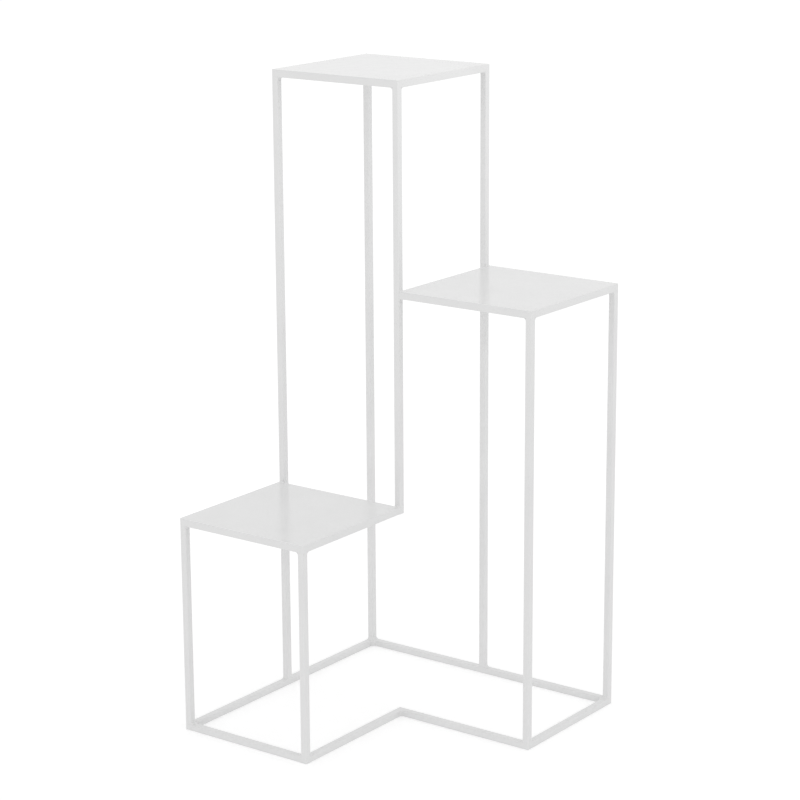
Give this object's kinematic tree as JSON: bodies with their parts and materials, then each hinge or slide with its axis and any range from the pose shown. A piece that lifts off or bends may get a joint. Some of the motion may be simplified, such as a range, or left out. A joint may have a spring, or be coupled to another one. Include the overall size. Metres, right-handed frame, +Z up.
{
  "type": "tiered plant stand",
  "caption": "L-shaped plant stand: square steel tube welded into stepped columns, with a flat square sheet steel shelf on each, all powder coated white.",
  "frame": {"origin": "middle of the footprint's bounding box, on the floor", "axes": "+Z up; +Y from the low shelf towards the tall column; +X from the tall column towards the middle shelf"},
  "size_m": [0.55, 0.55, 1.15],
  "materials": {
    "tube_paint": "satin white powder coat on square steel tube",
    "sheet_paint": "satin white powder coat on sheet steel, faintly reflecting what stands on it",
    "weld_paint": "satin white powder coat over fillet and tack welds"
  },
  "bodies": {
    "root": {"base_front_rail": "tube_paint", "base_crook_side_rail": "tube_paint", "base_crook_front_rail": "tube_paint", "base_right_rail": "tube_paint", "base_back_rail": "tube_paint", "base_left_rail": "tube_paint", "tower_front_left_post": "tube_paint", "tower_back_left_post": "tube_paint", "tower_back_right_post": "tube_paint", "tower_short_post": "tube_paint", "short_post_end_plate": "tube_paint", "low_front_left_post": "tube_paint", "low_front_right_post": "tube_paint", "mid_front_right_post": "tube_paint", "mid_back_right_post": "tube_paint", "low_front_rail": "tube_paint", "low_right_rail": "tube_paint", "low_back_rail": "tube_paint", "low_left_rail": "tube_paint", "mid_front_rail": "tube_paint", "mid_right_rail": "tube_paint", "mid_back_rail": "tube_paint", "mid_left_rail": "tube_paint", "top_front_rail": "tube_paint", "top_right_rail": "tube_paint", "top_back_rail": "tube_paint", "top_left_rail": "tube_paint", "low_shelf_plate": "sheet_paint", "mid_shelf_plate": "sheet_paint", "top_shelf_plate": "sheet_paint", "base_corner_welds": "weld_paint", "post_foot_welds": "weld_paint", "low_frame_welds": "weld_paint", "mid_frame_welds": "weld_paint", "top_frame_welds": "weld_paint", "low_plate_welds": "weld_paint", "mid_plate_welds": "weld_paint", "top_plate_welds": "weld_paint"}
  },
  "joints": []
}
